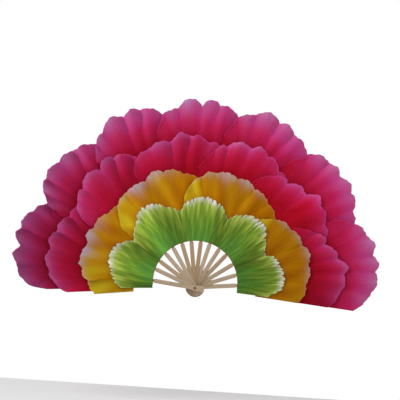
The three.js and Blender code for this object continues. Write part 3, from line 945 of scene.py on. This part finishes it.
def build_stick(k, material, settings):
    """A bamboo stick. The guards keep the chamfers that their solids have."""
    name = STICKS[k]
    is_guard = k in (0, len(STICKS) - 1)
    mesh = refined_copy(name, 0 if is_guard else settings.edge_ease)
    turn = Matrix.Rotation(-math.radians(STICK_ANGLES[k]), 3, "Y")
    points = np.array([turn @ v.co for v in mesh.vertices])
    grain = stacked(points[:, 0] + GRAIN_SLANT * points[:, 1], points[:, 2], np.full(len(points), float(k)))
    set_vectors(mesh, "grain", grain)
    mesh.attributes.new("honey", "FLOAT", "POINT").data.foreach_set("value", [HONEY[k]] * len(points))
    piece = add_object(f"{name}_bamboo", mesh, material)
    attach(piece, name)
    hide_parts(name)


def number_property(label, text, default, unit="LENGTH"):
    return FloatProperty(name=label, description=text, default=default, unit=unit)


def colour_property(label, text, default):
    return FloatVectorProperty(name=label, description=text, subtype="COLOR_GAMMA", default=default, min=0, max=1)


class FanClothSettings(bpy.types.PropertyGroup):
    """The cloth's sizes and dyes"""

    cloth_thickness: number_property("Cloth thickness", "Thickness of the petals and the leaf", 0.0006)
    hem_thickness: number_property("Hem thickness", "Thickness of a petal's heat-cut rim", 0.0010)
    hem_width: number_property("Hem width", "Width of the thickened rim", 0.004)
    # Pink tips: lilac dye, partly a painted sheen
    pink_tip: colour_property("Pink tips", "Lilac dye on the pink petals' lobes", (0.70, 0.50, 0.68))
    outer_rim: colour_property("Outer rim", "Outer pink row at its rim", (0.71, 0.29, 0.52))
    outer_upper: colour_property("Outer upper", "Outer pink row below its rim", (0.72, 0.21, 0.46))
    outer_middle: colour_property("Outer middle", "Middle of the outer pink row", (0.71, 0.11, 0.31))
    outer_root: colour_property("Outer root", "Outer pink row towards its base", (0.62, 0.04, 0.15))
    inner_rim: colour_property("Inner rim", "Inner pink row at its rim", (0.71, 0.25, 0.49))
    inner_upper: colour_property("Inner upper", "Inner pink row below its rim", (0.70, 0.14, 0.34))
    inner_middle: colour_property("Inner middle", "Middle of the inner pink row", (0.67, 0.07, 0.21))
    inner_root: colour_property("Inner root", "Inner pink row towards its base", (0.60, 0.03, 0.11))
    # Yellow tips: lilac dye, partly a painted sheen
    yellow_tip: colour_property("Yellow tips", "Lilac dye on the yellow petals' lobes", (0.67, 0.58, 0.64))
    yellow_rim: colour_property("Yellow rim", "Lemon near the free edges", (0.71, 0.61, 0.10))
    yellow_upper: colour_property("Yellow upper", "Gold between lemon and amber", (0.69, 0.52, 0.05))
    yellow_middle: colour_property("Yellow middle", "Amber of the petals' middles", (0.67, 0.44, 0.02))
    yellow_root: colour_property("Yellow root", "Orange brown of the deepest dye", (0.62, 0.36, 0.0))
    yellow_hem: colour_property("Yellow hem", "Peach cut edge of the yellow petals", (0.75, 0.52, 0.34))
    green_tip: colour_property("Green tips", "White tips of the ruff's teeth", (0.80, 0.79, 0.77))
    green_rim: colour_property("Green rim", "Yellow green below the teeth", (0.64, 0.70, 0.31))
    green_upper: colour_property("Green upper", "Leaf green of the upper ruff", (0.50, 0.60, 0.20))
    green_middle: colour_property("Green middle", "Green of the ruff's middle", (0.385, 0.53, 0.17))
    green_root: colour_property("Green root", "Deep green at the sewn base", (0.32, 0.515, 0.195))
    leaf_colour: colour_property("Leaf", "Backing leaf", (0.62, 0.10, 0.28))


class FanStickSettings(bpy.types.PropertyGroup):
    """The sticks' edges, their bamboo and the rivet's metal"""

    edge_ease: number_property("Eased edges", "Width of the sticks' rounded edges", 0.0003)
    pale: colour_property("Pale bamboo", "Lightest fibres", (0.63, 0.56, 0.47))
    mid: colour_property("Bamboo", "Common tone of the sticks", (0.57, 0.485, 0.375))
    deep: colour_property("Deep bamboo", "Darkest fibres", (0.545, 0.41, 0.25))
    rivet: colour_property("Rivet", "Browned metal of the rivet and washers", (0.30, 0.20, 0.13))


class FanStageSettings(bpy.types.PropertyGroup):
    """The camera, the fan's place in the picture and the lights"""

    camera_distance: number_property("Camera distance", "From the camera to the fan", 4.5)
    frame_width: number_property("Frame width", "Width that the picture covers at the fan", 1.1)
    lean: number_property("Lean", "How far the fan leans to the right in the picture", math.radians(3.8), "ROTATION")
    rivet_x: number_property("Rivet across", "The rivet's place in the picture, in pixels", 194.9, "NONE")
    rivet_y: number_property("Rivet down", "The rivet's place in the picture, in pixels", 287.6, "NONE")
    key_power: number_property("Key light", "Power of the lamp at upper left", 46.0, "POWER")
    front_power: number_property("Front light", "Power of the lamp by the camera", 50.0, "POWER")
    fill_power: number_property("Fill light", "Power of the lamp on the other side", 20.0, "POWER")
    ambient: number_property("Ambient", "Strength of the light from all round", 0.34, "NONE")
    picture_size: IntProperty(name="Picture size", description="Width of the picture, in pixels", default=400)


# Painted light and shade of each row round the fan, multiplied into its colour: fan angles and amounts
OUTER_PAINTED_LIGHT = (
    (-92, -75, -55, -35, -15, 20, 50, 78, 94),
    (0.46, 0.49, 0.66, 0.83, 0.92, 0.95, 0.97, 0.86, 0.76),
)
INNER_PAINTED_LIGHT = (
    (-92, -80, -66, -60, -48, -38, -26, -12, 0, 24, 40, 52, 60, 80, 94),
    (0.71, 0.66, 0.65, 0.91, 0.88, 0.73, 0.98, 0.83, 0.97, 1.06, 0.98, 1.18, 0.90, 0.82, 0.55),
)
YELLOW_PAINTED_LIGHT = (
    (-92, -75, -55, -38, -30, -12, 10, 18, 26, 40, 60, 78, 94),
    (0.79, 0.87, 0.97, 1.15, 0.90, 1.06, 1.05, 0.82, 0.95, 0.95, 0.76, 0.85, 0.70),
)
GREEN_PAINTED_LIGHT = (
    (-92, -78, -66, -56, -48, -42, -36, -29, -20, -12, -3, 7, 13, 23, 31, 44, 52, 60, 68, 80, 94),
    (0.4, 1.1, 0.8, 0.56, 1.0, 1.35, 1.0, 0.64, 0.68, 0.8, 0.88, 1.0, 0.72, 0.52, 0.74, 0.84, 0.68, 0.4, 0.6, 0.64,
     0.5),
)

# Painted shading of the pink and yellow folds: runs below the rim, strength round the fan, depths of (creases,
# sides)
CREASE_START, CREASE_RUN = 0.012, 0.04
SIDE_RUN = 0.06
SOFT_SIDE, SOFT_SIDE_RUN = 0.35, 0.03
FOLD_STRENGTH = ((-50, 0, 50, 95), (1.7, 1.1, 0.66, 0.45))
PINK_FOLDS = (0.22, 0.26)
YELLOW_FOLDS = (0.26, 0.24)

# Dyes and painted light: runs below the rim, how deep each yellow petal's is, reaches at free edges and under
# neighbours' edges (where the colour deepens, with painted shade on the pink rows and the ruff), and changes round
# the fan, also of the pale lilac, which is partly a painted sheen. GREEN_LIGHT_RUN and GREEN_SLIT_RUN are the ruff's
# runs of painted light and of painted shade in its slits, and GREEN_BRIGHTNESS lightens all its painted shade.
DYE_PARTS = ("rim", "upper", "middle", "root")
OUTER_RUNS = (0.1, 0.105, 0.11, 0.11, 0.115, 0.11, 0.115)
INNER_RUNS = (0.11, 0.14, 0.1, 0.09, 0.075, 0.09)
PINK_EDGE, PINK_COVER = 0.11, 0.03
PINK_EDGE_DYE = ((-60, -10), (0, 0.33))
YELLOW_DEPTHS = (0.12, 0.19, 0.27, 0.37)
YELLOW_RUN = 0.5
YELLOW_SIDE = 26
YELLOW_EDGE, YELLOW_COVER = 0.07, 0.07
YELLOW_TIP_REACH = ((-80, 0, 50), (1.15, 1, 0.6))
YELLOW_PALE = ((-80, -40, 30), (1.3, 1, 0.75))
GREEN_RUN = 0.125
GREEN_COVER = 0.045
GREEN_WHITE_RUN = 0.03
GREEN_LIGHT_RUN = 0.05
GREEN_SLIT_RUN = 0.02
GREEN_PALE = ((-92, -80), (0.5, 1))
GREEN_BRIGHTNESS = 1.07


def round_fan(angle, table):
    """Value at a fan angle, from a table of angles and values."""
    return np.interp(angle, *table)


def set_row(context, row, dye, places, tip, hem, tone, **cloth):
    """Dyes and builds a row. Its four colours lie at places, which are shares of the dye's run from rim to base."""
    look = context.scene.fan_cloth
    stops = [(place, tuple(getattr(look, f"{dye}_{part}"))) for place, part in zip(places, DYE_PARTS)]
    satin = row.slot.replace("cloth", "satin")
    material = petal_material(satin, stops, getattr(look, tip), getattr(look, hem), **cloth)
    for number in range(len(row.rims)):
        build_petal(Petal(ROWS.index(row), number), material, look, tone)
    return {"FINISHED"}


def lobe_place(petal, angle, radius):
    """Place on a lobe: 0 in the crease at its left and 1 in the one at its right."""
    where = angle if petal.teeth else petal.gathered(angle, radius)
    return petal.folds(where) % 1


def under_neighbour(petal, angle, radius, reach):
    """1 where the neighbour's free edge lies over a petal, falling to 0 over a reach to the left of it."""
    if petal.is_last:
        return np.zeros_like(angle)
    gap = np.radians(petal.right - angle) * radius
    return smooth(1 - gap / reach) * petal.freed(radius)


def free_edge(petal, angle, radius, reach):
    """1 on a petal's free left edge, falling to 0 over a reach."""
    return smooth(1 - np.radians(angle - petal.left) * radius / reach) * petal.freed(radius)


def fold_shade(petal, angle, radius, crease_depth, side):
    """Painted shade in the creases, and lobes painted lighter on the left than on the right: fainter from the fan's
    left to its right.
    """
    lobes = petal.crease_lobes(angle, radius)
    from_rim = petal.rim(angle) - radius
    left, last = np.floor(lobes).astype(int), len(petal.crease_depths) - 1
    place = lobes - left
    before, after = (petal.crease_depths[np.clip(left + step, 0, last)] ** 2 for step in (0, 1))
    crease = (1 - arch(lobes)) ** 4 * np.where(place < 0.5, before, after)
    line = crease_depth * crease * smooth(from_rim / CREASE_START) * np.exp(-from_rim / CREASE_RUN)
    lit = np.cos(math.pi * place) * (before * (1 - place) + after * place)
    lit = np.where(lit < 0, lit * smooth(SOFT_SIDE + from_rim / SOFT_SIDE_RUN), lit)
    return 1 - round_fan(angle, FOLD_STRENGTH) * (line - side * lit * np.exp(-from_rim / SIDE_RUN))


def lobe_tip(petal, angle, radius):
    """How much pale lilac a lobe has: dye, partly a painted sheen."""
    places = np.arange(len(petal.tips)) + 0.5
    return np.interp(petal.crease_lobes(angle, radius), places, petal.tips)


def pink_tone(light, runs, tip_run, tip_amount):
    """Tone of a pink row, from its painted light and shade round the fan, the dye's run on each petal, and the run
    and
    amount of its pale tips: lilac dye, partly a painted sheen.
    """
    def tone(petal, angle, radius):
        from_rim = petal.from_crest(angle, radius)
        crown = arch(lobe_place(petal, angle, radius) ** 0.75)
        edge = free_edge(petal, angle, radius, PINK_EDGE) * round_fan(angle, PINK_EDGE_DYE)
        covered = under_neighbour(petal, angle, radius, PINK_COVER)
        dye = from_rim / runs[petal.index] + edge + 0.1 * covered
        pale = tip_amount * crown ** 2 * lobe_tip(petal, angle, radius) * np.exp(-from_rim / tip_run)
        # Painted light and shade round the fan and in the folds
        shade = round_fan(angle, light) * fold_shade(petal, angle, radius, *PINK_FOLDS)
        # Painted shade under the neighbour's edge, where the pale tips fade too
        return stacked(dye, pale * (1 - 3 * edge) * (1 - covered), shade * (1 - 0.1 * covered ** 2))
    return tone


def yellow_tone(petal, angle, radius):
    """Tone of the yellow row: lemon near the free edges, amber and brown below, lilac on the lobes (dye, partly a
    painted sheen), bands that are a lighter dye and painted light, and painted shade in the folds and round the fan.
    """
    from_rim = petal.from_crest(angle, radius)
    crown = arch(lobe_place(petal, angle, radius))
    edge = free_edge(petal, angle, radius, YELLOW_EDGE)
    covered = under_neighbour(petal, angle, radius, YELLOW_COVER)
    across = smooth((angle - petal.left) / YELLOW_SIDE)
    slanted = angle + 60 * radius
    dye_and_light_bands = np.sin(0.62 * slanted + petal.waves[6]) * 0.6 + np.sin(0.23 * slanted + petal.waves[7]) * 0.5
    depth = YELLOW_DEPTHS[petal.index]
    dye = depth + 0.32 * across + from_rim / YELLOW_RUN - 0.3 * edge + 0.2 * covered - 0.2 * dye_and_light_bands
    tip = lobe_tip(petal, angle, radius) * (0.35 + 0.65 * crown)
    reach = (0.004 + 0.017 * tip) * round_fan(angle, YELLOW_TIP_REACH)
    pale = round_fan(angle, YELLOW_PALE) * (0.2 + 0.75 * tip) * np.exp(-(from_rim / reach) ** 1.5)
    # Painted light and shade: round the fan, in the folds and along the bands
    shade = round_fan(angle, YELLOW_PAINTED_LIGHT) * fold_shade(petal, angle, radius, *YELLOW_FOLDS) * (1 + 0.08 * dye_and_light_bands)
    return stacked(dye, pale * (1 - 0.8 * covered), shade)


def green_tone(petal, angle, radius):
    """Tone of the ruff: white tips on the teeth that rise high and greens below, with painted shade in the slits and
    painted light and shade on the crinkles, in blotches, under neighbours and round the fan.
    """
    from_rim = petal.rim(angle) - radius
    covered = under_neighbour(petal, angle, radius, GREEN_COVER)
    crinkle = np.clip(petal.crinkle(angle, radius) / CRINKLE_DEPTH, -1, 1)
    height = petal.rim(angle) + petal.slit(angle) - petal.notch_radii.max()
    white = smooth(1 + height / GREEN_WHITE_RUN)
    place = lobe_place(petal, angle, radius)
    streak = 0.8 + 0.2 * np.cos(4 * math.pi * place) + 0.1 * crinkle
    # Painted light on the crinkles' ridges: yellower here, and lighter in the shade below
    dye = 0.04 + from_rim / GREEN_RUN - 0.12 * crinkle + 0.12 * covered
    pale = white * streak * smooth(1.15 - from_rim / (0.005 + 0.012 * white)) * (1 - 0.6 * covered)
    light_blotches = np.sin(0.9 * angle + petal.waves[6]) * 0.5 + np.sin(0.37 * angle + 14 * radius + petal.waves[7]) * 0.5
    pale = pale * (0.9 + 0.2 * light_blotches) * round_fan(angle, GREEN_PALE)
    # Painted light and shade: round the fan, on the crinkles, in blotches, under the neighbour's edge and in the
    # slits
    light = 1 + (round_fan(angle, GREEN_PAINTED_LIGHT) - 1) * smooth(0.3 + from_rim / GREEN_LIGHT_RUN)
    slit = (1 - arch(place)) ** 4 * np.exp(-from_rim / GREEN_SLIT_RUN)
    shade = GREEN_BRIGHTNESS * light * (1 + 0.14 * crinkle) * (1 - 0.15 * covered) * (1 + 0.08 * light_blotches)
    return stacked(dye, pale, shade * (1 - 0.25 * slit))


class FAN_OT_sticks(bpy.types.Operator):
    """Replace each stick with one that has eased edges and bamboo fibres"""

    bl_idname = "fan.sticks"
    bl_label = "Bamboo sticks"

    def execute(self, context):
        look = context.scene.fan_sticks
        material = bamboo_material("split_bamboo", look.pale, look.mid, look.deep)
        for k in range(len(STICKS)):
            build_stick(k, material, look)
        return {"FINISHED"}


class FAN_OT_rivet(bpy.types.Operator):
    """Give the rivet and its washers their browned metal"""

    bl_idname = "fan.rivet"
    bl_label = "Rivet"

    def execute(self, context):
        material = rivet_material(tuple(context.scene.fan_sticks.rivet))
        for node in ("rivet", "washer_front", "washer_back"):
            cad = frame["nodes"][node]
            cad.data.materials.clear()
            cad.data.materials.append(material)
        return {"FINISHED"}


class FAN_OT_leaf(bpy.types.Operator):
    """Lay the backing leaf on the sticks"""

    bl_idname = "fan.leaf"
    bl_label = "Backing leaf"

    def execute(self, context):
        look = context.scene.fan_cloth
        stops = [(0.2, tuple(look.inner_middle)), (0.6, tuple(look.leaf_colour)), (0.9, tuple(look.inner_root))]
        material = petal_material("leaf_satin", stops, look.leaf_colour, look.leaf_colour, creases=1.0)
        build_leaf(material, look)
        return {"FINISHED"}


class FAN_OT_green_ruff(bpy.types.Operator):
    """Gather the green ruff with its pale teeth"""

    bl_idname = "fan.green_ruff"
    bl_label = "Green ruff"

    def execute(self, context):
        return set_row(
            context, GREEN, "green", (0.05, 0.3, 0.6, 0.95), "green_tip", "green_tip", green_tone,
            creases=1.8, slant=6.0, streak_depth=0.25, relief=0.0015,
        )


class FAN_OT_yellow_petals(bpy.types.Operator):
    """Set the yellow petals"""

    bl_idname = "fan.yellow_petals"
    bl_label = "Yellow petals"

    def execute(self, context):
        return set_row(context, YELLOW, "yellow", (0.0, 0.3, 0.6, 1.0), "yellow_tip", "yellow_hem", yellow_tone)


class FAN_OT_inner_pink(bpy.types.Operator):
    """Set the inner row of pink petals"""

    bl_idname = "fan.inner_pink"
    bl_label = "Inner pink petals"

    def execute(self, context):
        tone = pink_tone(INNER_PAINTED_LIGHT, INNER_RUNS, tip_run=0.009, tip_amount=0.4)
        return set_row(context, INNER_PINK, "inner", (0.02, 0.2, 0.5, 0.95), "pink_tip", "inner_rim", tone)


class FAN_OT_outer_pink(bpy.types.Operator):
    """Set the outer row of pink petals"""

    bl_idname = "fan.outer_pink"
    bl_label = "Outer pink petals"

    def execute(self, context):
        tone = pink_tone(OUTER_PAINTED_LIGHT, OUTER_RUNS, tip_run=0.021, tip_amount=0.85)
        return set_row(context, OUTER_PINK, "outer", (0.02, 0.28, 0.55, 0.95), "pink_tip", "outer_rim", tone)


# Studio: each lamp's name, place and width, with its power's setting
LAMPS = (
    ("key", (-1.7, -2.3, 2.1), 1.6, "key_power"),
    ("front", (-0.4, -3.6, 1.0), 2.4, "front_power"),
    ("fill", (2.2, -2.4, 0.9), 2.2, "fill_power"),
    ("back", (0.8, 2.4, 1.6), 2.0, "fill_power"),
)
LIT_POINT = (0, 0, 0.22)
FLOOR_PLACE = (0, -0.2, -0.34)
FLOOR_SIZE = (2.4, 1.4, 1)


def aim(obj, place, target, up=Vector((0, 0, 1))):
    """Places an object so that its -Z points at the target and its Y along up."""
    back = (Vector(place) - Vector(target)).normalized()
    right = up.cross(back).normalized()
    top = back.cross(right)
    turn = Matrix((right, top, back)).transposed()
    obj.matrix_world = Matrix.Translation(Vector(place)) @ turn.to_4x4()


def area_lamp(name, place, size, power):
    """A round lamp of a width that lights the middle of the fan."""
    lamp = bpy.data.lights.new(name, "AREA")
    lamp.shape = "DISK"
    lamp.size = size
    lamp.energy = power
    obj = bpy.data.objects.new(name, lamp)
    bpy.context.scene.collection.objects.link(obj)
    aim(obj, place, LIT_POINT)


def white_world(ambient):
    """White to the eye and in reflections, and dimmer as a light."""
    world = bpy.data.worlds.new("studio")
    world.use_nodes = True
    bpy.context.scene.world = world
    nodes = Nodes(world.node_tree)
    path = nodes.new("ShaderNodeLightPath")
    seen = nodes.math("MAXIMUM", path.outputs["Is Camera Ray"], path.outputs["Is Glossy Ray"])
    seen = nodes.math("MAXIMUM", seen, path.outputs["Is Transmission Ray"])
    strength = nodes.times_add(seen, 1.0 - ambient, ambient)
    nodes.feed(world.node_tree.nodes["Background"], Color=(1, 1, 1, 1), Strength=strength)


def pale_floor():
    bpy.ops.mesh.primitive_plane_add(size=1, location=FLOOR_PLACE)
    floor = bpy.context.object
    floor.name = "floor"
    floor.scale = FLOOR_SIZE
    material, nodes, shader = new_material("pale_floor")
    nodes.feed(shader, Base_Color=(0.93, 0.93, 0.93, 1), Roughness=0.9)
    floor.data.materials.append(material)


class FAN_OT_stage(bpy.types.Operator):
    """Set the camera, the lamps, the white surroundings and the floor"""

    bl_idname = "fan.stage"
    bl_label = "Studio"

    def execute(self, context):
        look = context.scene.fan_stage
        right = Vector((math.cos(look.lean), 0, math.sin(look.lean)))
        up = Vector((-math.sin(look.lean), 0, math.cos(look.lean)))
        pixel = look.frame_width / look.picture_size
        middle = look.picture_size / 2
        centre = right * (middle - look.rivet_x) * pixel + up * (look.rivet_y - middle) * pixel
        camera = bpy.data.objects.new("camera", bpy.data.cameras.new("camera"))
        context.scene.collection.objects.link(camera)
        camera.data.angle = 2 * math.atan(look.frame_width / 2 / look.camera_distance)
        aim(camera, centre + Vector((0, -look.camera_distance, 0)), centre, up)
        context.scene.camera = camera
        context.scene.view_settings.view_transform = "Standard"
        for name, place, size, power in LAMPS:
            area_lamp(name, place, size, getattr(look, power))
        white_world(look.ambient)
        pale_floor()
        return {"FINISHED"}


PIECES = (
    FAN_OT_stage, FAN_OT_sticks, FAN_OT_rivet, FAN_OT_leaf,
    FAN_OT_outer_pink, FAN_OT_inner_pink, FAN_OT_yellow_petals, FAN_OT_green_ruff,
)


class FAN_PT_panel(bpy.types.Panel):
    """The fan's pieces in the order in which they are built"""

    bl_idname = "FAN_PT_panel"
    bl_label = "Petal fan"
    bl_space_type = "VIEW_3D"
    bl_region_type = "UI"
    bl_category = "Petal fan"

    def draw(self, context):
        for piece in PIECES:
            self.layout.operator(piece.bl_idname)


SETTINGS = {"fan_cloth": FanClothSettings, "fan_sticks": FanStickSettings, "fan_stage": FanStageSettings}
CLASSES = (*SETTINGS.values(), *PIECES, FAN_PT_panel)


def register():
    for cls in CLASSES:
        bpy.utils.register_class(cls)
    for name, settings in SETTINGS.items():
        setattr(bpy.types.Scene, name, PointerProperty(type=settings))


def unregister():
    for name in SETTINGS:
        delattr(bpy.types.Scene, name)
    for cls in reversed(CLASSES):
        bpy.utils.unregister_class(cls)


def main():
    register()
    bpy.ops.fan.stage()
    bpy.ops.fan.sticks()
    bpy.ops.fan.rivet()
    bpy.ops.fan.leaf()
    bpy.ops.fan.outer_pink()
    bpy.ops.fan.inner_pink()
    bpy.ops.fan.yellow_petals()
    bpy.ops.fan.green_ruff()


if __name__ == "__main__":
    main()
